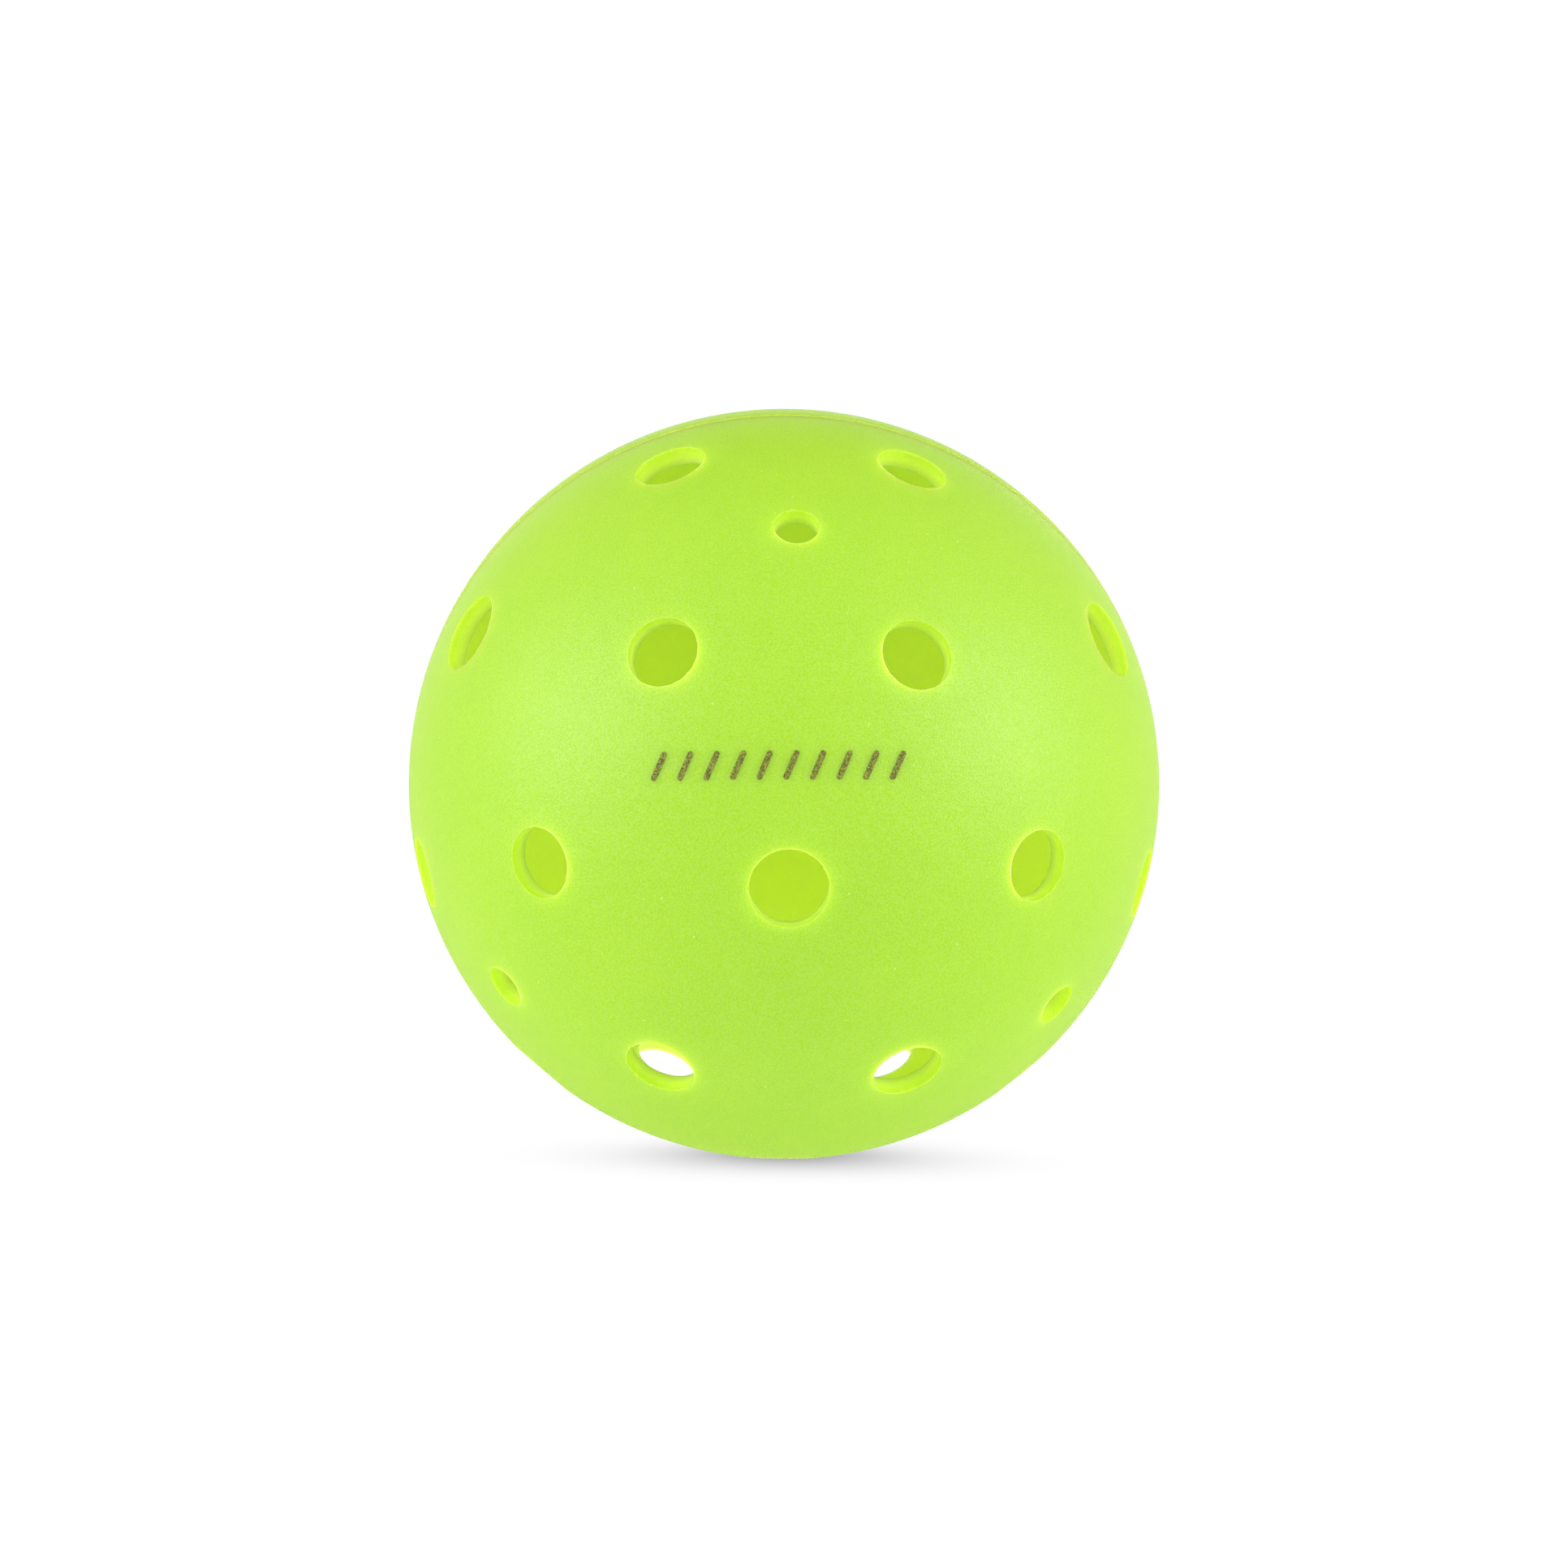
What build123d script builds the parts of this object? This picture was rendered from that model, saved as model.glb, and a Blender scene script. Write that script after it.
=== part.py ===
from build123d import *
import math
import os

# Perforated ball for pickleball, in millimetres.
#
# Frame: the origin is the centre of the ball. The pole axis of the two half
# shells is Y: the front half points to -Y, the back half to +Y, and the weld
# between them lies in the XZ plane. +Z is up, through the small hole that is
# straight above the front pole.
#
# A hole's place is (theta, azimuth): theta is the angle from its half's pole,
# azimuth is measured around Y from +Z towards +X. Every hole is drilled
# towards the centre of the ball.

# ---------------------------------------------------------------- dimensions
ball_d = 74.0            # outside diameter
wall = 1.8               # shell thickness

drill_pole = 7.35        # one hole on each pole
drill_mid = 6.75         # inner ring of six, and the six pairs near the weld
drill_wide = 7.65        # three near the weld, between the small holes
drill_small = 4.2        # three small holes

theta_inner = 39.0       # inner ring: 6 holes
theta_small = 55.2       # small holes: 3
theta_pair = 75.0        # pairs near the weld, one pair below each small hole: 6
theta_wide = 72.8        # wide holes near the weld: 3
pair_half_angle = 18.85  # a pair stands this far each side of its small hole

weld_w = 0.8             # width of the weld bead between the shell edges
weld_recess = 0.12       # the bead is trimmed this far below the outside
flash_w = 2.0            # width of the rounded flash left on the inside
flash_h = 0.6            # height of that flash

ink_t = 0.06             # thickness of the printed mark
mark_theta = 17.7        # place of the middle of the mark
mark_azimuth = -6.1
mark_roll = 1.7          # the row climbs to the right by this angle
mark_strokes = 10
mark_pitch = 2.42
mark_h = 2.7             # height of a stroke, measured across the row
mark_w = 0.56            # width of a stroke
mark_lean = 24.0         # lean of the strokes to the right

seam_azimuth = 50.0      # the shells' face seams lie between the holes

# Drilling scatter: how far single holes are off their nominal place, as
# (theta, azimuth) in degrees, keyed by (half, ring, nominal azimuth).
scatter = {
    ("front", "pair", -18.85): (-0.1, -0.1),
    ("front", "pair", 18.85): (0.0, -0.15),
    ("front", "small", 0.0): (0.0, 0.6),
    ("front", "wide", -60.0): (-0.4, -0.2),
    ("front", "wide", 60.0): (0.45, 0.0),
    ("front", "inner", -30.0): (0.1, -0.7),
    ("front", "inner", 30.0): (-0.15, -0.3),
    ("front", "inner", -90.0): (-0.3, -0.6),
    ("front", "inner", 90.0): (0.05, -0.45),
    ("front", "small", -120.0): (-0.05, 0.9),
    ("front", "small", 120.0): (0.4, 1.2),
    ("front", "inner", -150.0): (0.0, 0.1),
    ("front", "inner", 150.0): (0.0, -0.1),
    ("back", "pair", -161.15): (-0.95, 0.2),
    ("back", "pair", 161.15): (-2.5, 0.4),
}

# ------------------------------------------------------------- derived sizes
r_out = ball_d / 2
r_in = r_out - wall
weld_h = weld_w / 2
flash_half = flash_w / 2


def on_circle(radius, y):
    """Distance from the Y axis of the point of a circle of that radius at height y."""
    return math.sqrt(radius * radius - y * y)


def pattern(half):
    """The holes of one half, without its pole hole: (theta, azimuth, diameter).
    The back half is the front half seen through the centre of the ball."""
    turn = 0.0 if half == "front" else 180.0
    rows = []
    for k in range(6):
        rows.append(("inner", theta_inner, 30.0 + 60.0 * k, drill_mid))
    for k in range(3):
        small = 120.0 * k
        rows.append(("small", theta_small, small, drill_small))
        rows.append(("pair", theta_pair, small - pair_half_angle, drill_mid))
        rows.append(("pair", theta_pair, small + pair_half_angle, drill_mid))
        rows.append(("wide", theta_wide, small + 60.0, drill_wide))
    holes = []
    for ring, theta, azimuth, diameter in rows:
        azimuth = (azimuth + turn + 180.0) % 360.0 - 180.0
        off = (0.0, 0.0)
        for key, value in scatter.items():
            near = abs((azimuth - key[2] + 180.0) % 360.0 - 180.0) < 0.01
            if key[0] == half and key[1] == ring and near:
                off = value
        holes.append((theta + off[0], azimuth + off[1], diameter))
    return holes


def direction(half, theta, azimuth):
    t, a = math.radians(theta), math.radians(azimuth)
    y = -math.cos(t) if half == "front" else math.cos(t)
    return Vector(math.sin(t) * math.sin(a), y, math.sin(t) * math.cos(a))


# ---------------------------------------------------------------- half shells
def make_shell(half):
    """A half shell turned about the pole axis, with its pole hole left open,
    then drilled."""
    a = drill_pole / 2
    s = -1 if half == "front" else 1
    mid = math.radians(45)
    with BuildPart() as part:
        with BuildSketch(Plane.XY):
            with BuildLine():
                outer_pole = (a, s * on_circle(r_out, a))
                outer_edge = (on_circle(r_out, weld_h), s * weld_h)
                inner_edge = (on_circle(r_in, weld_h), s * weld_h)
                inner_pole = (a, s * on_circle(r_in, a))
                ThreePointArc(
                    outer_pole,
                    (r_out * math.cos(mid), s * r_out * math.sin(mid)),
                    outer_edge,
                )
                Line(outer_edge, inner_edge)
                ThreePointArc(
                    inner_edge,
                    (r_in * math.cos(mid), s * r_in * math.sin(mid)),
                    inner_pole,
                )
                Line(inner_pole, outer_pole)
            make_face()
        revolve(axis=Axis.Y)
    shell = part.part.rotate(Axis.Y, seam_azimuth - 90.0)
    drills = []
    for theta, azimuth, diameter in pattern(half):
        d = direction(half, theta, azimuth)
        middle = d * (r_out - wall / 2)
        drills.append(Plane(origin=middle, z_dir=d) * Cylinder(diameter / 2, wall * 4))
    return shell - drills


# ------------------------------------------------------------------ weld bead
def make_bead():
    """The ring of plastic fused between the two shell edges: trimmed a little
    below the outside, and with a rounded flash left on the inside."""
    with BuildPart() as part:
        with BuildSketch(Plane.XY):
            with BuildLine():
                top = r_out - weld_recess
                edge = on_circle(r_in, weld_h)
                foot = on_circle(r_in, flash_half)
                between = on_circle(r_in, (weld_h + flash_half) / 2)
                Line((top, -weld_h), (top, weld_h))
                Line((top, weld_h), (edge, weld_h))
                ThreePointArc(
                    (edge, weld_h),
                    (between, (weld_h + flash_half) / 2),
                    (foot, flash_half),
                )
                ThreePointArc(
                    (foot, flash_half), (r_in - flash_h, 0), (foot, -flash_half)
                )
                ThreePointArc(
                    (foot, -flash_half),
                    (between, -(weld_h + flash_half) / 2),
                    (edge, -weld_h),
                )
                Line((edge, -weld_h), (top, -weld_h))
            make_face()
        revolve(axis=Axis.Y)
    return part.part.rotate(Axis.Y, seam_azimuth - 90.0)


# --------------------------------------------------------------- printed mark
def make_mark():
    """A plain row of slanted strokes, as one thin film of ink each, lying on
    the outside of the front shell."""
    m = direction("front", mark_theta, mark_azimuth)
    right = Vector(0, 0, 1).cross(m).normalized()
    film = Solid.make_sphere(r_out + ink_t, angle1=-90, angle2=90, angle3=360)
    film = film - Solid.make_sphere(r_out, angle1=-90, angle2=90, angle3=360)
    face = Plane(origin=m * (r_out - 6), x_dir=right, z_dir=m)
    length = (mark_h - mark_w) / math.cos(math.radians(mark_lean)) + mark_w
    strokes = []
    for k in range(mark_strokes):
        along = (k - (mark_strokes - 1) / 2) * mark_pitch
        slope = math.radians(mark_roll)
        at = Location((along * math.cos(slope), along * math.sin(slope), 0))
        lean = Rotation(0, 0, 90.0 - mark_lean + mark_roll)
        stroke = at * lean * SlotOverall(length, mark_w)
        block = extrude(face * stroke, amount=10, dir=m)
        strokes.append(block.intersect(film))
    return strokes


front_shell = make_shell("front")
back_shell = make_shell("back")
weld_bead = make_bead()
printed_mark = make_mark()

solids = []
for item in printed_mark:
    solids.extend(item.solids() if hasattr(item, "solids") else [item])

os.makedirs("parts", exist_ok=True)
export_step(Compound(children=front_shell.solids()), "parts/front_shell.step")
export_step(Compound(children=back_shell.solids()), "parts/back_shell.step")
export_step(Compound(children=weld_bead.solids()), "parts/weld_bead.step")
export_step(Compound(children=solids), "parts/printed_mark.step")

density = 0.95e-3  # grams per cubic millimetre, polyethylene
total = 0.0
for name, node in (
    ("front_shell", front_shell.solids()),
    ("back_shell", back_shell.solids()),
    ("weld_bead", weld_bead.solids()),
    ("printed_mark", solids),
):
    volume = sum(s.volume for s in node)
    total += volume
    print(name, "solids", len(node), "volume mm3", round(volume, 2))
print("holes in each half", 1 + len(pattern("front")), 1 + len(pattern("back")))
print("mass in polyethylene, g", round(total * density, 2))
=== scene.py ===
import math

import bmesh
import bpy
import numpy as np
from mathutils import Matrix, Vector
from mathutils.geometry import delaunay_2d_cdt


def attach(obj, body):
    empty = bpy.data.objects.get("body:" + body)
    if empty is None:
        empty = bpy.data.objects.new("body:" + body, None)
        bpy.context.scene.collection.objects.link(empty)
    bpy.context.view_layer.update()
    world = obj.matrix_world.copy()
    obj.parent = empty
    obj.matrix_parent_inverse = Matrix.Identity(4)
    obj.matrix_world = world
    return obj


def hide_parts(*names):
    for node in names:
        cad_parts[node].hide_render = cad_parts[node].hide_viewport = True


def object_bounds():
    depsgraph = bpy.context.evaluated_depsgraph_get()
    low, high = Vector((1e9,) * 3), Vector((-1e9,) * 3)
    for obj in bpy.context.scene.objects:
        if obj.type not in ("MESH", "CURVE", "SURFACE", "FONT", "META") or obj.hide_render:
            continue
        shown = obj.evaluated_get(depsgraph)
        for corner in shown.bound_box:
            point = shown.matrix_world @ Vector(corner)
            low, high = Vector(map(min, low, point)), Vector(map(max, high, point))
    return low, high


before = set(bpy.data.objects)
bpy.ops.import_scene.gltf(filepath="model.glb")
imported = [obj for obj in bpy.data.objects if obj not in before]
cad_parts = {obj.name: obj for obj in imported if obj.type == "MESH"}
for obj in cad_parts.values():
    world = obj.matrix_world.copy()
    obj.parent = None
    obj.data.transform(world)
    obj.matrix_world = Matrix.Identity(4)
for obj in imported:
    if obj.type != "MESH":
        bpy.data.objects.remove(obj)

cad_lo, cad_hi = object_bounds()
MM = 0.001
scene = bpy.context.scene

# ------------------------------------------------------------------ sizes (mm)
# The same sizes as the CAD part.
BALL_R = 37.0
WALL = 1.8
IN_R = BALL_R - WALL
DRILL = {"pole": 7.35, "inner": 6.75, "pair": 6.75, "wide": 7.65, "small": 4.2}
THETA = {"inner": 39.0, "small": 55.2, "pair": 75.0, "wide": 72.8}
PAIR = 18.85
WELD_H = 0.4
RECESS = 0.12
FLASH_HALF = 1.0
FLASH_H = 0.6
SCATTER = {
    ("front", "pair", -18.85): (-0.1, -0.1),
    ("front", "pair", 18.85): (0.0, -0.15),
    ("front", "small", 0.0): (0.0, 0.6),
    ("front", "wide", -60.0): (-0.4, -0.2),
    ("front", "wide", 60.0): (0.45, 0.0),
    ("front", "inner", -30.0): (0.1, -0.7),
    ("front", "inner", 30.0): (-0.15, -0.3),
    ("front", "inner", -90.0): (-0.3, -0.6),
    ("front", "inner", 90.0): (0.05, -0.45),
    ("front", "small", -120.0): (-0.05, 0.9),
    ("front", "small", 120.0): (0.4, 1.2),
    ("front", "inner", -150.0): (0.0, 0.1),
    ("front", "inner", 150.0): (0.0, -0.1),
    ("back", "pair", -161.15): (-0.95, 0.2),
    ("back", "pair", 161.15): (-2.5, 0.4),
}


def direction(half, theta, azimuth):
    t, a = math.radians(theta), math.radians(azimuth)
    y = -math.cos(t) if half == "front" else math.cos(t)
    return np.array([math.sin(t) * math.sin(a), y, math.sin(t) * math.cos(a)])


def pattern(half):
    """(direction, radius) of each hole of one half, the pole hole first."""
    turn = 0.0 if half == "front" else 180.0
    rows = [("inner", 30.0 + 60.0 * k) for k in range(6)]
    for k in range(3):
        small = 120.0 * k
        rows += [("small", small), ("pair", small - PAIR), ("pair", small + PAIR), ("wide", small + 60.0)]
    holes = [(direction(half, 0.0, 0.0), DRILL["pole"] / 2)]
    for ring, azimuth in rows:
        azimuth = (azimuth + turn + 180.0) % 360.0 - 180.0
        off = (0.0, 0.0)
        for key, value in SCATTER.items():
            near = abs((azimuth - key[2] + 180.0) % 360.0 - 180.0) < 0.01
            if key[0] == half and key[1] == ring and near:
                off = value
        holes.append((direction(half, THETA[ring] + off[0], azimuth + off[1]), DRILL[ring] / 2))
    return holes


# ------------------------------------------------------------- mesh helpers
def basis(d):
    h = np.array([0.0, 0.0, 1.0]) if abs(d[2]) < 0.9 else np.array([1.0, 0.0, 0.0])
    u = np.cross(h, d)
    u /= np.linalg.norm(u)
    return u, np.cross(d, u)


def waves(rng, n, octaves, amp=1.0):
    """A smooth closed random curve of n samples with mean 0: octaves is a list of (frequency, weight)."""
    t = np.linspace(0, 2 * math.pi, n, endpoint=False)
    out = np.zeros(n)
    for f, w in octaves:
        for k in range(max(1, f - f // 3), f + f // 3 + 1):
            out += w * math.sqrt(1 / (1 + 2 * (f // 3))) * rng.normal() * np.cos(k * t + rng.uniform(0, 2 * math.pi))
    return amp * out


class Build:
    """Collects vertices (mm), faces and the vertex attributes of one closed mesh."""

    def __init__(self):
        self.v, self.f, self.n = [], [], 0
        self.attr = {"rim": [], "leak_glow": [], "bore": [], "inside": []}
        self.radial = []  # 1 outward radial normal, -1 inward, 0 as computed

    def add(self, pts, rim=0.0, leak_glow=0.0, bore=0.0, inside=0.0, radial=0):
        pts = np.asarray(pts, float)
        k = len(pts)
        self.v.append(pts)
        for name, val in (("rim", rim), ("leak_glow", leak_glow), ("bore", bore), ("inside", inside)):
            self.attr[name].append(np.broadcast_to(np.asarray(val, float), (k,)).copy())
        self.radial.append(np.full(k, radial))
        first = self.n
        self.n += k
        return np.arange(first, first + k)

    def strip(self, a, b):
        """Quads between two closed loops with the same number of points."""
        m = len(a)
        for i in range(m):
            j = (i + 1) % m
            self.f.append((int(a[i]), int(a[j]), int(b[j]), int(b[i])))

    def mesh(self, name):
        v = np.concatenate(self.v) * MM
        me = bpy.data.meshes.new(name)
        me.from_pydata(v.tolist(), [], self.f)
        bm = bmesh.new()
        bm.from_mesh(me)
        bmesh.ops.recalc_face_normals(bm, faces=bm.faces)
        bm.to_mesh(me)
        bm.free()
        me.update()
        for n, vals in self.attr.items():
            at = me.attributes.new(n, "FLOAT", "POINT")
            at.data.foreach_set("value", np.concatenate(vals).astype(np.float32))
        me.shade_smooth()
        radial = np.concatenate(self.radial)
        nor = np.zeros(len(v) * 3, np.float32)
        me.vertices.foreach_get("normal", nor)
        nor = nor.reshape(-1, 3)
        unit = v / np.linalg.norm(v, axis=1, keepdims=True)
        k = radial != 0
        nor[k] = unit[k] * radial[k][:, None]
        me.normals_split_custom_set_from_vertices(nor.tolist())
        return me


def to_disc(p, s):
    d = p / np.linalg.norm(p, axis=1, keepdims=True)
    return np.stack([d[:, 0] / (1 + s * d[:, 1]), d[:, 2] / (1 + s * d[:, 1])], 1)


def skin(build, loops, rings, radius, s, holes, clear, spacing, **marks):
    """Covers a spherical cap between existing loops: loops are (vertex ids, points), the first one outermost.
    rings are extra points, clear the lateral distance to keep free round each hole."""
    n = int(4 * math.pi * radius * radius / (0.866 * spacing * spacing))
    k = np.arange(n) + 0.5
    y = 1 - 2 * k / n
    r = np.sqrt(1 - y * y)
    a = math.pi * (1 + math.sqrt(5)) * k
    p = np.stack([r * np.cos(a), y, r * np.sin(a)], 1) * radius
    keep = s * p[:, 1] > WELD_H + 0.75 * spacing
    for (d, hr), c in zip(holes, clear):
        al = p @ d
        lat = np.sqrt(np.maximum(radius * radius - al * al, 0))
        keep &= ~((al > 0) & (lat < c))
    bulk = p[keep]
    free = np.concatenate([bulk] + rings) if rings else bulk
    ids = build.add(free, radial=marks.pop("radial"), **marks)
    pts = np.concatenate([l[1] for l in loops] + [free])
    all_ids = np.concatenate([l[0] for l in loops] + [ids])
    edges, first = [], 0
    for l in loops:
        m = len(l[0])
        edges += [(first + i, first + (i + 1) % m) for i in range(m)]
        first += m
    flat = to_disc(pts, s)
    out_v, _, out_f, orig, _, _ = delaunay_2d_cdt([Vector(q) for q in flat], edges, [], 0, 1e-7)
    ov = np.array([list(q) for q in out_v])
    rim2 = np.linalg.norm(flat[: len(loops[0][0])], axis=1).min()
    for f in out_f:
        c = ov[list(f)].mean(0)
        rho = c @ c
        if math.sqrt(rho) > rim2 * 0.99999:
            continue
        q = np.array([2 * c[0], s * (1 - rho), 2 * c[1]]) / (1 + rho) * radius
        inside = False
        for (d, hr), loop in zip(holes, loops[1:]):
            al = q @ d
            if al > 0 and math.sqrt(max(radius * radius - al * al, 0)) < loop[2] * 0.9995:
                inside = True
                break
        if inside:
            continue
        tri = [int(all_ids[orig[i][0]]) for i in f]
        if len(set(tri)) == 3:
            build.f.append(tuple(tri))


def ring_points(d, lateral, dist, n, phase=0.0):
    """n points round the axis d, lateral from it, at distance dist from the ball's centre (each a number or an array)."""
    u, w = basis(d)
    t = np.linspace(0, 2 * math.pi, n, endpoint=False) + phase
    lateral = np.broadcast_to(np.asarray(lateral, float), (n,))
    dist = np.broadcast_to(np.asarray(dist, float), (n,))
    along = np.sqrt(dist * dist - lateral * lateral)
    return d * along[:, None] + lateral[:, None] * (np.cos(t)[:, None] * u + np.sin(t)[:, None] * w)


def lathe_ring(rho, y, n):
    t = np.linspace(0, 2 * math.pi, n, endpoint=False)
    rho = np.broadcast_to(np.asarray(rho, float), (n,))
    y = np.broadcast_to(np.asarray(y, float), (n,))
    return np.stack([rho * np.sin(t), y, rho * np.cos(t)], 1)


def half_shell(name, half, seed):
    s = -1.0 if half == "front" else 1.0
    rng = np.random.default_rng(seed)
    holes = pattern(half)
    b = Build()
    n_seam = 540
    # the edge at the weld, from the outside round to the inside
    edge = []
    for y_off, r_off, rim in ((0.16, 0.0, 0.0), (0.085, 0.0, 0.25), (0.03, -0.02, 0.8), (0.0, -0.07, 0.6)):
        y = s * (WELD_H + y_off)
        rho = math.sqrt((BALL_R + r_off) ** 2 - y * y)
        jag = waves(rng, n_seam, [(60, 0.5), (140, 0.7)], 0.006) if rim > 0.5 else 0.0
        edge.append(b.add(lathe_ring(rho + jag, y, n_seam), rim=rim, radial=1 if r_off == 0.0 else 0))
    for r_at in (BALL_R - 0.5, BALL_R - 0.9, IN_R + 0.5, IN_R + 0.05):
        edge.append(b.add(lathe_ring(math.sqrt(r_at**2 - WELD_H**2), s * WELD_H, n_seam), bore=0.5))
    for y_off in (0.05, 0.16):
        y = s * (WELD_H + y_off)
        edge.append(b.add(lathe_ring(math.sqrt(IN_R**2 - y * y), y, n_seam), inside=1.0, radial=-1 if y_off > 0.1 else 0))
    for p, q in zip(edge, edge[1:]):
        b.strip(p, q)
    pts = lambda ids: np.concatenate(b.v)[ids]
    outer_loops = [(edge[0], pts(edge[0]), None)]
    inner_loops = [(edge[-1], pts(edge[-1]), None)]
    rings_out, rings_in, clear_out, clear_in = [], [], [], []
    for d, a in holes:
        n = 120 if a > 3 else 80
        # how ragged the cut is, once round: small teeth, with a few torn burrs
        teeth = waves(rng, n, [(9, 0.5), (22, 0.8), (40, 0.7)])
        burr = np.clip(waves(rng, n, [(5, 0.8), (13, 0.7), (30, 0.8)]), -1.0, 2.2)
        lift = np.clip(0.55 + 0.5 * burr, 0.05, 1.6)
        loop = []
        # (lateral distance past the edge, height over the sphere, rim, painted glow of light leaking through the edge)
        for off, h, rim, leak_glow in (
            (0.85, 0.0, 0.0, 0.30), (0.55, 0.0, 0.0, 0.45), (0.34, 0.0, 0.0, 0.62), (0.21, 0.003, 0.0, 0.78),
            (0.13, 0.003, 0.0, 0.90), (0.075, 0.008, 0.3, 1.0), (0.035, 0.012, 0.9, 1.0), (0.008, 0.003, 1.0, 1.0),
        ):
            ragged = 0.016 * teeth * min(1.0, (0.34 - off) / 0.3) if off < 0.34 else 0.0
            loop.append(b.add(ring_points(d, a + off + ragged, BALL_R + h * lift, n), rim=rim, leak_glow=leak_glow, radial=1 if h == 0.0 else 0))
        top = math.sqrt(BALL_R**2 - a * a)
        bottom = math.sqrt(IN_R**2 - a * a)
        u, w = basis(d)
        t = np.linspace(0, 2 * math.pi, n, endpoint=False)
        # rings down the wall (share of the depth, rim, deep): deep sets the smoother wall finish and the brighter
        # painted wall colour, fuller towards the inside, where less light reaches
        for f, rim, deep in (
            (0.012, 0.6, 0.1), (0.035, 0.0, 0.1), (0.09, 0.0, 0.15), (0.22, 0.0, 0.3), (0.42, 0.0, 0.6),
            (0.64, 0.0, 0.9), (0.83, 0.0, 1.0), (0.94, 0.15, 1.0), (0.985, 0.9, 1.0),
        ):
            z = top + (bottom - top) * f
            ragged = 0.014 * teeth * (1 - f) ** 4 + 0.006 * waves(rng, n, [(14, 0.7), (33, 0.7)])
            lat = a + ragged
            loop.append(b.add(d * z + lat[:, None] * (np.cos(t)[:, None] * u + np.sin(t)[:, None] * w), rim=rim, bore=deep, leak_glow=1.0))
        # the inner edge: whitened burrs, and the pale rim on the last wall rings and first inside rings is also painted
        # to lift the shade where the wall meets the inside
        tail = waves(rng, n, [(7, 0.7), (19, 0.8), (38, 0.6)])
        for off, h, ins, rim in ((0.02, -0.012, 0.6, 0.9), (0.07, -0.022, 0.9, 0.5), (0.16, -0.010, 1.0, 0.0), (0.34, 0.0, 1.0, 0.0)):
            ragged = 0.02 * tail * (1 if off < 0.1 else 0.4 if off < 0.3 else 0)
            loop.append(b.add(ring_points(d, a + off + ragged, IN_R + h * (1 + 0.6 * tail), n), rim=rim, bore=1.0 - ins, inside=ins, leak_glow=0.6, radial=-1 if h == 0.0 else 0))
        for p, q in zip(loop, loop[1:]):
            b.strip(p, q)
        outer_loops.append((loop[0], pts(loop[0]), a + 0.85))
        inner_loops.append((loop[-1], pts(loop[-1]), a + 0.34))
        for off, m in ((1.12, 0.75), (1.5, 0.55), (2.0, 0.42)):
            rings_out.append(ring_points(d, a + off, BALL_R, int(n * m), 0.01))
        for off, m in ((0.62, 0.7), (1.0, 0.5), (1.5, 0.36)):
            rings_in.append(ring_points(d, a + off, IN_R, int(n * m), 0.01))
        clear_out.append(a + 2.45)
        clear_in.append(a + 2.0)
    for y_off, m in ((0.55, 360), (1.05, 270)):
        y = s * (WELD_H + y_off)
        rings_out.append(lathe_ring(math.sqrt(BALL_R**2 - y * y), y, m))
        rings_in.append(lathe_ring(math.sqrt(IN_R**2 - y * y), y, m))

    skin(b, outer_loops, rings_out, BALL_R, s, holes, clear_out, 1.05, radial=1)
    skin(b, inner_loops, rings_in, IN_R, s, holes, clear_in, 1.3, inside=1.0, radial=-1)
    # the painted pale glow of light leaking through the thin edge fades over the first millimetres of the skin outside
    # each hole
    v = np.concatenate(b.v)
    leak_glow = np.concatenate(b.attr["leak_glow"])
    on_skin = (np.concatenate(b.radial) == 1) & (np.concatenate(b.attr["bore"]) == 0)
    for d, a in holes:
        al = v @ d
        lat = np.sqrt(np.maximum((v * v).sum(1) - al * al, 0))
        gap = np.where(al > 0, lat - a, 99.0)
        value = np.clip(1.0 - gap / 2.6, 0, 1) ** 2.2
        leak_glow = np.where(on_skin & (gap > 0.0), np.maximum(leak_glow * (leak_glow > 1), value), leak_glow)
    b.attr["leak_glow"] = [leak_glow]
    me = b.mesh(name)
    ob = bpy.data.objects.new(name, me)
    scene.collection.objects.link(ob)
    return ob


front = half_shell("front_half", "front", 11)
back = half_shell("back_half", "back", 23)


def bead(seed):
    """The fused ring: a trimmed, slightly rough outside a little below the shells, and a rounded flash inside."""
    rng = np.random.default_rng(seed)
    n = 720
    b = Build()
    rows = []
    h = WELD_H - 0.002
    for y, r in ((-h, IN_R + 0.6), (-h, BALL_R - 0.4), (-h, BALL_R - RECESS - 0.05)):
        rows.append(b.add(lathe_ring(math.sqrt(r * r - y * y), y, n), bore=0.5))
    # the trimmed outside takes a quarter of the brighter painted wall colour and finish
    for y in (-0.36, -0.22, -0.08, 0.08, 0.22, 0.36):
        rough = waves(rng, n, [(30, 0.4), (110, 0.6), (200, 0.5)], 0.014)
        rows.append(b.add(lathe_ring(math.sqrt((BALL_R - RECESS) ** 2 - y * y) + rough, y, n), bore=0.25))
    for y, r in ((h, BALL_R - RECESS - 0.05), (h, BALL_R - 0.4), (h, IN_R + 0.6), (h, IN_R - 0.01)):
        rows.append(b.add(lathe_ring(math.sqrt(r * r - y * y), y, n), bore=0.5))
    wave = waves(rng, n, [(6, 0.5), (21, 0.5), (60, 0.3)])
    m = 9
    for k in range(m + 1):
        f = k / m
        y = FLASH_HALF * math.cos(math.pi * f)
        depth = FLASH_H * (1 - (y / FLASH_HALF) ** 2)
        y2 = y * (1 + 0.05 * wave)
        rows.append(b.add(lathe_ring(math.sqrt(IN_R**2 - y * y) - 0.01 - depth * (1 + 0.12 * wave), y2, n), inside=1.0))
    rows.append(b.add(lathe_ring(math.sqrt((IN_R - 0.01) ** 2 - h * h), -h, n), bore=0.5))
    for p, q in zip(rows, rows[1:] + rows[:1]):
        b.strip(p, q)
    me = b.mesh("weld_ring")
    ob = bpy.data.objects.new("weld_ring", me)
    scene.collection.objects.link(ob)
    return ob


weld = bead(5)


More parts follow.
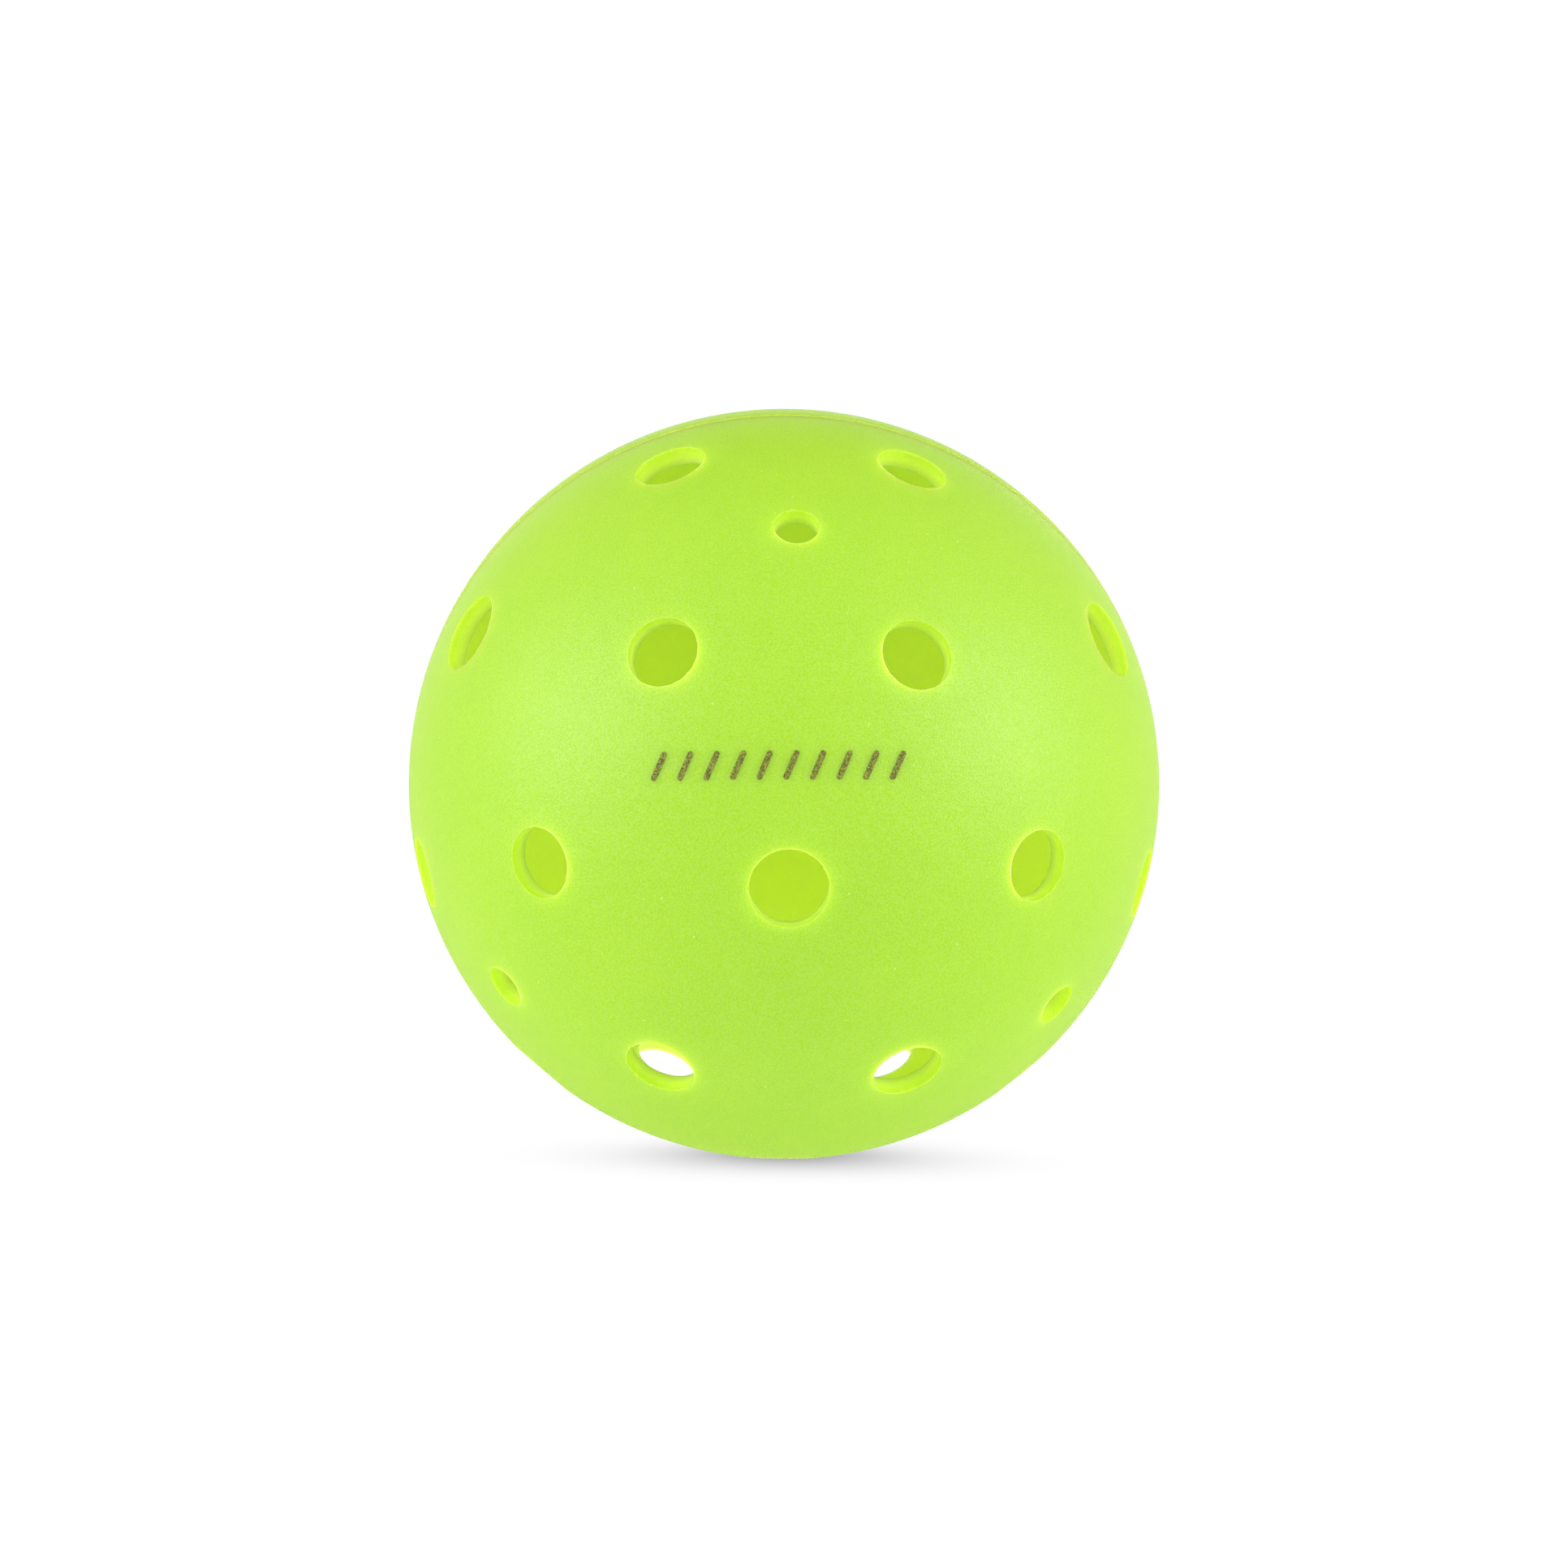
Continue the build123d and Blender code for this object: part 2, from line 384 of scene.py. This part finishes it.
# --------------------------------------------------------------- printed mark
def strokes(seed):
    """The plain row of slanted strokes, as thin films of ink with ragged edges."""
    rng = np.random.default_rng(seed)
    m = direction("front", 17.7, -6.1)
    right = np.cross([0, 0, 1.0], m)
    right /= np.linalg.norm(right)
    up = np.cross(m, right)
    count, pitch, height, width = 10, 2.42, 2.7, 0.56
    lean, roll = math.radians(24.0), math.radians(1.7)
    length = (height - width) / math.cos(lean) + width
    b = Build()
    for k in range(count):
        c = (k - (count - 1) / 2) * pitch
        centre = np.array([c * math.cos(roll), c * math.sin(roll)])
        ang = math.pi / 2 - lean + roll
        e1 = np.array([math.cos(ang), math.sin(ang)])
        e2 = np.array([-e1[1], e1[0]])
        n = 132
        half = (length - width) / 2
        per = 4 * half + math.pi * width
        outline = []
        for i in range(n):
            q = per * i / n
            if q < 2 * half:
                x, y = -half + q, -width / 2
            elif q < 2 * half + math.pi * width / 2:
                t = (q - 2 * half) / (width / 2) - math.pi / 2
                x, y = half + width / 2 * math.cos(t), width / 2 * math.sin(t)
            elif q < 4 * half + math.pi * width / 2:
                x, y = half - (q - 2 * half - math.pi * width / 2), width / 2
            else:
                t = (q - 4 * half - math.pi * width / 2) / (width / 2) + math.pi / 2
                x, y = -half + width / 2 * math.cos(t), width / 2 * math.sin(t)
            outline.append((x, y))
        outline = np.array(outline)
        rough = waves(rng, n, [(12, 0.4), (30, 0.8), (50, 0.6)], 0.02)
        cx = np.clip(outline[:, 0], -half, half)
        axis = np.stack([cx, np.zeros(n)], 1)
        away = outline - axis
        unit = away / np.linalg.norm(away, axis=1, keepdims=True)

        def ring(share, r, bumps=0.0):
            p2 = axis + away * share + unit * (rough * share * bumps)[:, None]
            p = centre + p2[:, :1] * e1 + p2[:, 1:] * e2
            z = np.sqrt(r * r - (p * p).sum(1))
            return p[:, :1] * right + p[:, 1:] * up + z[:, None] * m

        rows = [b.add(ring(1.0, BALL_R - 0.01, 1.0), rim=1.0)]
        for share, r in ((1.0, BALL_R + 0.012), (0.94, BALL_R + 0.024), (0.78, BALL_R + 0.028), (0.5, BALL_R + 0.028), (0.2, BALL_R + 0.028)):
            rows.append(b.add(ring(share, r, 1.0), rim=1.0 if share > 0.9 else 0.0))
        for p, q in zip(rows, rows[1:]):
            b.strip(p, q)
        # the middle line closes the top and the underside
        for ids, share in ((rows[-1], 0.2), (rows[0], 1.0)):
            order = list(ids)
            h2 = n // 2
            j0 = 0
            i, j = 0, n - 1
            while j - i > 1:
                if j - i == 2:
                    b.f.append((int(order[i]), int(order[i + 1]), int(order[j])))
                    break
                b.f.append((int(order[i]), int(order[i + 1]), int(order[j - 1]), int(order[j])))
                i += 1
                j -= 1
    me = b.mesh("printed_strokes")
    ob = bpy.data.objects.new("printed_strokes", me)
    scene.collection.objects.link(ob)
    return ob


mark = strokes(7)


# ------------------------------------------------------------------ materials
class Nodes:
    def __init__(self, name):
        self.mat = bpy.data.materials.new(name)
        self.mat.use_nodes = True
        self.t = self.mat.node_tree
        self.t.nodes.clear()
        self.out = self.t.nodes.new("ShaderNodeOutputMaterial")
        self.co = self.t.nodes.new("ShaderNodeTexCoord").outputs["Object"]

    def link(self, a, b):
        self.t.links.new(a, b)

    def put(self, socket, value):
        if hasattr(value, "is_output"):
            self.link(value, socket)
        else:
            socket.default_value = value

    def attr(self, name):
        n = self.t.nodes.new("ShaderNodeAttribute")
        n.attribute_name = name
        return n.outputs["Fac"]

    def math(self, op, a, b=0.0, c=0.0, clamp=False):
        n = self.t.nodes.new("ShaderNodeMath")
        n.operation, n.use_clamp = op, clamp
        for s, v in zip(n.inputs, (a, b, c)):
            self.put(s, v)
        return n.outputs[0]

    def range(self, v, a, b, c=0.0, d=1.0, smooth=True):
        n = self.t.nodes.new("ShaderNodeMapRange")
        n.interpolation_type = "SMOOTHSTEP" if smooth else "LINEAR"
        for i, x in enumerate((v, a, b, c, d)):
            self.put(n.inputs[i], x)
        return n.outputs[0]

    def noise(self, scale, detail=2.0, rough=0.5, distort=0.0, vec=None, kind="FBM"):
        n = self.t.nodes.new("ShaderNodeTexNoise")
        n.noise_dimensions = "3D"
        n.inputs["Scale"].default_value = scale
        n.inputs["Detail"].default_value = detail
        n.inputs["Roughness"].default_value = rough
        n.inputs["Distortion"].default_value = distort
        self.link(vec or self.co, n.inputs["Vector"])
        return n.outputs["Fac"]

    def cells(self, scale, feature="F1", random=1.0, vec=None):
        n = self.t.nodes.new("ShaderNodeTexVoronoi")
        n.feature = feature
        n.inputs["Scale"].default_value = scale
        n.inputs["Randomness"].default_value = random
        self.link(vec or self.co, n.inputs["Vector"])
        return n

    def mix(self, f, a, b, kind="MIX"):
        n = self.t.nodes.new("ShaderNodeMix")
        n.data_type, n.blend_type = "RGBA", kind
        self.put(n.inputs[0], f)
        for s, v in ((n.inputs[6], a), (n.inputs[7], b)):
            self.put(s, v if hasattr(v, "is_output") else (*v, 1.0))
        return n.outputs[2]

    def bump(self, height, strength, distance, normal=None):
        n = self.t.nodes.new("ShaderNodeBump")
        n.inputs["Strength"].default_value = strength
        n.inputs["Distance"].default_value = distance
        self.link(height, n.inputs["Height"])
        if normal is not None:
            self.link(normal, n.inputs["Normal"])
        return n.outputs[0]

    def y_of(self):
        n = self.t.nodes.new("ShaderNodeSeparateXYZ")
        self.link(self.co, n.inputs[0])
        return n.outputs[1]


def lin(h):
    """sRGB hex to linear."""
    c = [int(h[i : i + 2], 16) / 255 for i in (1, 3, 5)]
    return tuple(x / 12.92 if x <= 0.04045 else ((x + 0.055) / 1.055) ** 2.4 for x in c)


BODY = (0.339, 0.557, 0.0080)
PALE = (0.42, 0.64, 0.050)
RIM = (0.72, 0.93, 0.36)
# the drilled walls and the inside are the shell plastic painted brighter: painted light for what comes through the thin
# walls
BORE_GLOW = (0.74, 0.999, 0.14)
INSIDE_GLOW = (0.75, 0.93, 0.26)


def plastic(name, rough=0.43, depth=0.0050):
    g = Nodes(name)
    p = g.t.nodes.new("ShaderNodeBsdfPrincipled")
    rim, leak_glow, bore, inside = g.attr("rim"), g.attr("leak_glow"), g.attr("bore"), g.attr("inside")
    # colour: a little cloudiness in the pigment; a painted pale glow round the holes, for light leaking through the
    # thin edges; paler at the weld; walls and inside painted brighter, for light that comes through the thin plastic;
    # stress-whitened cut edges, also painted pale at the inner edge of each hole to lift the shade there
    cloud = g.noise(95.0, 3.0, 0.55)
    base = g.mix(g.range(cloud, 0.35, 0.68), (BODY[0] * 0.965, BODY[1] * 0.985, BODY[2] * 0.9), BODY)
    fleck = g.noise(900.0, 2.0, 0.6)
    base = g.mix(g.range(fleck, 0.60, 0.76, 0.0, 0.15), base, PALE)
    # painted light: the pale glow of light leaking through the thin edge round each hole
    base = g.mix(g.math("MULTIPLY", leak_glow, 0.05), base, PALE)
    y = g.math("ABSOLUTE", g.y_of())
    seam = g.range(y, 0.0004, 0.0022, 1.0, 0.0)
    scuff = g.noise(1500.0, 3.0, 0.65)
    base = g.mix(g.math("MULTIPLY", seam, g.range(scuff, 0.44, 0.66, 0.0, 0.30)), base, PALE)
    # painted light: the walls and the inside take the brighter colours, for light that comes through the thin plastic
    base = g.mix(bore, base, BORE_GLOW)
    base = g.mix(inside, base, INSIDE_GLOW)
    # stress-whitened cut edges; at the inner edge of the holes the same pale paint also lifts the shade there, as
    # painted light
    torn = g.noise(1900.0, 3.0, 0.65)
    white = g.math("MULTIPLY", g.range(rim, 0.3, 1.0), g.range(torn, 0.52, 0.68, 0.0, 0.45), clamp=True)
    base = g.mix(white, base, RIM)
    # tiny marks: scattered dark and white specks
    spots = g.cells(700.0)
    near = g.range(spots.outputs["Distance"], 0.035, 0.065, 1.0, 0.0)
    some = g.t.nodes.new("ShaderNodeSeparateColor")
    g.link(spots.outputs["Color"], some.inputs[0])
    dark = g.math("MULTIPLY", near, g.math("LESS_THAN", some.outputs[0], 0.05))
    lite = g.math("MULTIPLY", near, g.math("GREATER_THAN", some.outputs[0], 0.72))
    base = g.mix(g.math("MULTIPLY", dark, 0.45), base, (0.22, 0.42, 0.03))
    base = g.mix(g.math("MULTIPLY", lite, 0.50), base, (0.78, 0.98, 0.32))
    # surface: fine blasted grain outside, smoother drilled walls
    grain = g.noise(8500.0, 2.0, 0.6)
    coarse = g.noise(5600.0, 1.0, 0.5)
    pits = g.range(g.math("ADD", g.math("MULTIPLY", grain, 0.5), g.math("MULTIPLY", coarse, 0.5)), 0.38, 0.60)
    skin_only = g.math("MULTIPLY", g.math("SUBTRACT", 1.0, inside), g.math("SUBTRACT", 1.0, bore), clamp=True)
    base = g.mix(g.math("MULTIPLY", g.math("SUBTRACT", 1.0, pits), skin_only), base, g.mix(1.0, base, (0.974, 0.978, 0.965), "MULTIPLY"))
    g.put(p.inputs["Base Color"], base)
    wavy = g.noise(230.0, 2.0, 0.5)
    outside = g.math("SUBTRACT", 1.0, g.math("MULTIPLY", bore, 0.75))
    height = g.math("ADD", g.math("MULTIPLY", grain, 0.6), g.math("MULTIPLY", coarse, 0.6))
    height = g.math("MULTIPLY", height, outside)
    height = g.math("ADD", height, g.math("MULTIPLY", g.math("MULTIPLY", scuff, seam), 0.9))
    n1 = g.bump(wavy, 0.25, 0.00006)
    n2 = g.bump(height, 0.9, 0.00006, n1)
    g.link(n2, p.inputs["Normal"])
    r = g.math("ADD", rough, g.math("MULTIPLY", g.math("SUBTRACT", coarse, 0.5), 0.25))
    r = g.math("ADD", r, g.math("MULTIPLY", seam, 0.12), clamp=True)
    g.put(p.inputs["Roughness"], r)
    g.put(p.inputs["IOR"], 1.51)
    shine = g.math("SUBTRACT", 0.58, g.math("MULTIPLY", bore, 0.25))
    g.put(p.inputs["Specular IOR Level"], g.math("MULTIPLY", shine, g.math("ADD", 0.42, g.math("MULTIPLY", pits, 1.06))))
    g.put(p.inputs["Subsurface Weight"], 1.0)
    g.put(p.inputs["Subsurface Radius"], (1.0, 1.0, 0.5))
    g.put(p.inputs["Subsurface Scale"], depth)
    g.put(p.inputs["Subsurface Anisotropy"], 0.0)
    g.link(p.outputs[0], g.out.inputs[0])
    return g.mat


def ink(name):
    g = Nodes(name)
    p = g.t.nodes.new("ShaderNodeBsdfPrincipled")
    speck = g.noise(5200.0, 3.0, 0.7)
    broad = g.noise(1400.0, 2.0, 0.5)
    rim = g.attr("rim")
    base = g.mix(g.range(speck, 0.42, 0.58), lin("#4A4A0C"), lin("#828432"))
    base = g.mix(g.range(broad, 0.35, 0.7, 0.0, 0.3), base, lin("#696F20"))
    g_through = g.range(speck, 0.60, 0.72, 0.0, 0.6)
    base = g.mix(g_through, base, lin("#A9C23C"))
    base = g.mix(g.math("MULTIPLY", g.range(rim, 0.4, 1.0), 0.25), base, lin("#8FA53A"))
    g.put(p.inputs["Base Color"], base)
    g.put(p.inputs["Roughness"], 0.55)
    g.put(p.inputs["Specular IOR Level"], 0.3)
    g.link(g.bump(speck, 0.5, 0.00002), p.inputs["Normal"])
    g.link(p.outputs[0], g.out.inputs[0])
    return g.mat


shell_mat = plastic("neon_polyethylene")
# the bead is a thin separate ring, so light that went deep into it would be lost at its hidden sides
weld_mat = plastic("fused_polyethylene", rough=0.55, depth=0.0005)
ink_mat = ink("speckled_ink")
for ob, mat in ((front, shell_mat), (back, shell_mat), (weld, weld_mat), (mark, ink_mat)):
    ob.data.materials.append(mat)

for ob, node, slot in (
    (front, "front_shell", "shell_plastic"),
    (back, "back_shell", "shell_plastic"),
    (weld, "weld_bead", "weld_plastic"),
    (mark, "printed_mark", "print_ink"),
):
    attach(ob, "root")
    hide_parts(node)

# ---------------------------------------------------------------------- stage
bm = bmesh.new()
bmesh.ops.create_circle(bm, cap_ends=True, segments=96, radius=6.0)
floor_me = bpy.data.meshes.new("floor")
bm.to_mesh(floor_me)
bm.free()
floor = bpy.data.objects.new("floor", floor_me)
floor.location = (0, 0, cad_lo.z)
scene.collection.objects.link(floor)
g = Nodes("pale_floor")


# a light table: it glows evenly, with one soft shadow painted into its glow, wide from side to side, under the ball


def painted_shadow_patch(x, y, sx, sy, depth):
    """A soft elliptical patch of painted shadow on the floor, in millimetres."""
    d = g.t.nodes.new("ShaderNodeVectorMath")
    d.operation = "SUBTRACT"
    g.link(g.co, d.inputs[0])
    d.inputs[1].default_value = (x * MM, y * MM, 0.0)
    m = g.t.nodes.new("ShaderNodeVectorMath")
    m.operation = "MULTIPLY"
    g.link(d.outputs[0], m.inputs[0])
    m.inputs[1].default_value = (1 / (sx * MM), 1 / (sy * MM), 0.0)
    q = g.t.nodes.new("ShaderNodeVectorMath")
    q.operation = "DOT_PRODUCT"
    g.link(m.outputs[0], q.inputs[0])
    g.link(m.outputs[0], q.inputs[1])
    return g.math("MULTIPLY", g.math("EXPONENT", g.math("MULTIPLY", q.outputs["Value"], -1.0)), depth)


# painted shadow: two soft patches darken the floor's glow under the ball
shade = g.math("ADD", painted_shadow_patch(0.8, -6.3, 15.5, 4.1, 0.36), painted_shadow_patch(0.8, -4.0, 9.0, 3.0, 0.35))
glow = g.t.nodes.new("ShaderNodeEmission")
g.put(glow.inputs["Strength"], g.math("MULTIPLY", g.math("SUBTRACT", 1.0, shade), 1.01))
g.link(glow.outputs[0], g.out.inputs[0])
floor_me.materials.append(g.mat)
floor.visible_glossy = False
floor.visible_shadow = False

world = bpy.data.worlds.new("studio")
scene.world = world
world.use_nodes = True
wt = world.node_tree
wt.nodes.clear()
w_out = wt.nodes.new("ShaderNodeOutputWorld")
w_bg = wt.nodes.new("ShaderNodeBackground")
w_co = wt.nodes.new("ShaderNodeTexCoord")
w_xyz = wt.nodes.new("ShaderNodeSeparateXYZ")
wt.links.new(w_co.outputs["Generated"], w_xyz.inputs[0])


def ramp(axis, a, b, c, d):
    """World brightness along one axis of the studio."""
    n = wt.nodes.new("ShaderNodeMapRange")
    n.interpolation_type = "SMOOTHSTEP"
    for i, v in ((1, a), (2, b), (3, c), (4, d)):
        n.inputs[i].default_value = v
    wt.links.new(w_xyz.outputs[axis], n.inputs[0])
    return n.outputs[0]


def combine(op, *parts):
    out = parts[0]
    for part in parts[1:]:
        n = wt.nodes.new("ShaderNodeMath")
        n.operation = op
        wt.links.new(out, n.inputs[0])
        wt.links.new(part, n.inputs[1])
        out = n.outputs[0]
    return out


# bright to the left and right, with a band from the front over the top to a dim back, and a bright strip low at the back
left = ramp(0, -0.56, -0.14, 1.0, 0.0)
right = ramp(0, 0.14, 0.56, 0.0, 1.0)
side = combine("ADD", left, right)
middle = combine("SUBTRACT", ramp(0, -9.0, -8.0, 1.0, 1.0), side)
level = combine(
    "ADD",
    combine("MULTIPLY", side, ramp(1, -0.45, 0.80, 1.06, 0.76)),
    combine("MULTIPLY", middle, ramp(1, -0.20, 0.70, 1.10, 0.30)),
    combine("MULTIPLY", ramp(1, 0.86, 0.97, 0.0, 0.80), ramp(2, -0.30, -0.10, 0.0, 1.0), ramp(2, 0.24, 0.40, 1.0, 0.0)),
)
wt.links.new(combine("MULTIPLY", level, ramp(2, -0.40, 0.30, 1.12, 0.94), ramp(2, 0.30, 0.95, 1.0, 1.25)), w_bg.inputs[1])
w_bg.inputs[0].default_value = (1, 1, 1, 1)
wt.links.new(w_bg.outputs[0], w_out.inputs[0])


def area(name, loc, size, power, target=(0, 0, 0), colour=(1, 1, 1), size_y=None):
    li = bpy.data.lights.new(name, "AREA")
    li.shape = "RECTANGLE" if size_y else "SQUARE"
    li.size = size
    if size_y:
        li.size_y = size_y
    li.energy = power
    li.color = colour
    ob = bpy.data.objects.new(name, li)
    ob.location = loc
    ob.rotation_euler = (Vector(target) - Vector(loc)).to_track_quat("-Z", "Y").to_euler()
    ob.visible_camera = False
    scene.collection.objects.link(ob)
    return ob


def toward(x, y, z, far):
    k = far / math.sqrt(x * x + y * y + z * z)
    return (x * k, y * k, z * k)


area("left_softbox", toward(-0.90, -0.30, 0.36, 0.8), 0.50, 3.5, size_y=0.50)
area("right_softbox", toward(0.90, -0.30, 0.36, 0.8), 0.50, 3.5, size_y=0.50)

# the table is lit from below, through its top
under = area("table_softbox", (0.0, 0.0, cad_lo.z - 0.22), 0.60, 0.78, colour=(0.83, 1.0, 0.38))
under.data.cycles.use_multiple_importance_sampling = False
under.visible_glossy = False

# stands for the light that the thin walls let through into the ball, which the renderer only follows for one bounce
glim = bpy.data.lights.new("light_through_walls", "POINT")
glim.shadow_soft_size = 0.008
glim.color = (0.75, 1.0, 0.12)
glim.energy = 0.0014
glim_ob = bpy.data.objects.new("light_through_walls", glim)
glim_ob.visible_camera = False
glim_ob.visible_glossy = False
scene.collection.objects.link(glim_ob)

# --------------------------------------------------------------------- camera
CAM_D, CAM_AZ, CAM_EL, CAM_ROLL = 0.445, math.radians(-1.016), math.radians(14.945), math.radians(1.137)
cam_data = bpy.data.cameras.new("camera")
cam = bpy.data.objects.new("camera", cam_data)
scene.collection.objects.link(cam)
z = Vector((math.sin(CAM_AZ) * math.cos(CAM_EL), -math.cos(CAM_AZ) * math.cos(CAM_EL), math.sin(CAM_EL)))
x = Vector((0, 0, 1)).cross(z).normalized()
y = z.cross(x)
x2 = x * math.cos(CAM_ROLL) + y * math.sin(CAM_ROLL)
y2 = y * math.cos(CAM_ROLL) - x * math.sin(CAM_ROLL)
rot = Matrix((x2, y2, z)).transposed()
cam.matrix_world = Matrix.Translation(z * CAM_D) @ rot.to_4x4()
cam_data.type = "PERSP"
cam_data.sensor_fit = "HORIZONTAL"
cam_data.sensor_width = 36.0
cam_data.lens = 5540.8 / 1932 * 36.0
cam_data.clip_start, cam_data.clip_end = 0.01, 30.0
scene.camera = cam

scene.view_settings.view_transform = "Standard"
scene.cycles.diffuse_bounces = 10
